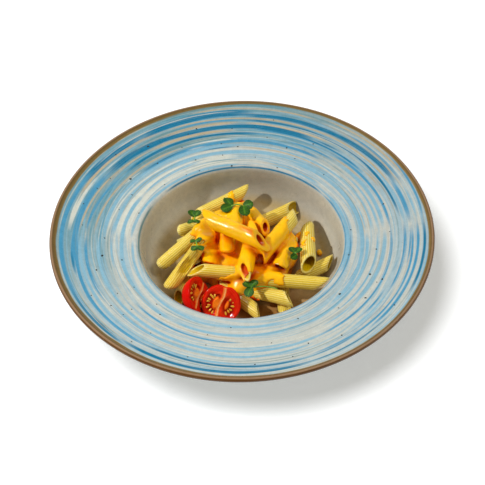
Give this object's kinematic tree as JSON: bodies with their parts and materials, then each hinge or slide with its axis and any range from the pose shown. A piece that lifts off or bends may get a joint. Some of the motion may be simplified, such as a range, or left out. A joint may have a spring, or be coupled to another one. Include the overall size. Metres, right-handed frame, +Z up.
{
  "type": "plate of penne with cheese sauce",
  "caption": "Wide-rim glazed plate with a heap of ridged penne in cheese sauce, cherry tomato halves and microgreen sprigs.",
  "frame": {"origin": "centre of the plate's foot ring, on the plane it stands on", "axes": "+Z up; -Y towards the diner, the side of the whole tomato half face; +X to the right"},
  "size_m": [0.2794, 0.28, 0.0501],
  "materials": {
    "stoneware": "gloss glaze, brushed blue rim with a brown lip",
    "cheese_pasta": "wet cheese sauce over pale ridged pasta",
    "tomato": "wet cut flesh and smooth skin",
    "greens": "satin leaf"
  },
  "bodies": {
    "root": {"plate": "stoneware", "pasta_heap": "cheese_pasta", "tomato_half_front": "tomato", "tomato_half_back": "tomato", "microgreen_left": "greens", "microgreen_top": "greens", "microgreen_middle": "greens", "microgreen_right": "greens", "microgreen_front": "greens"}
  },
  "joints": []
}
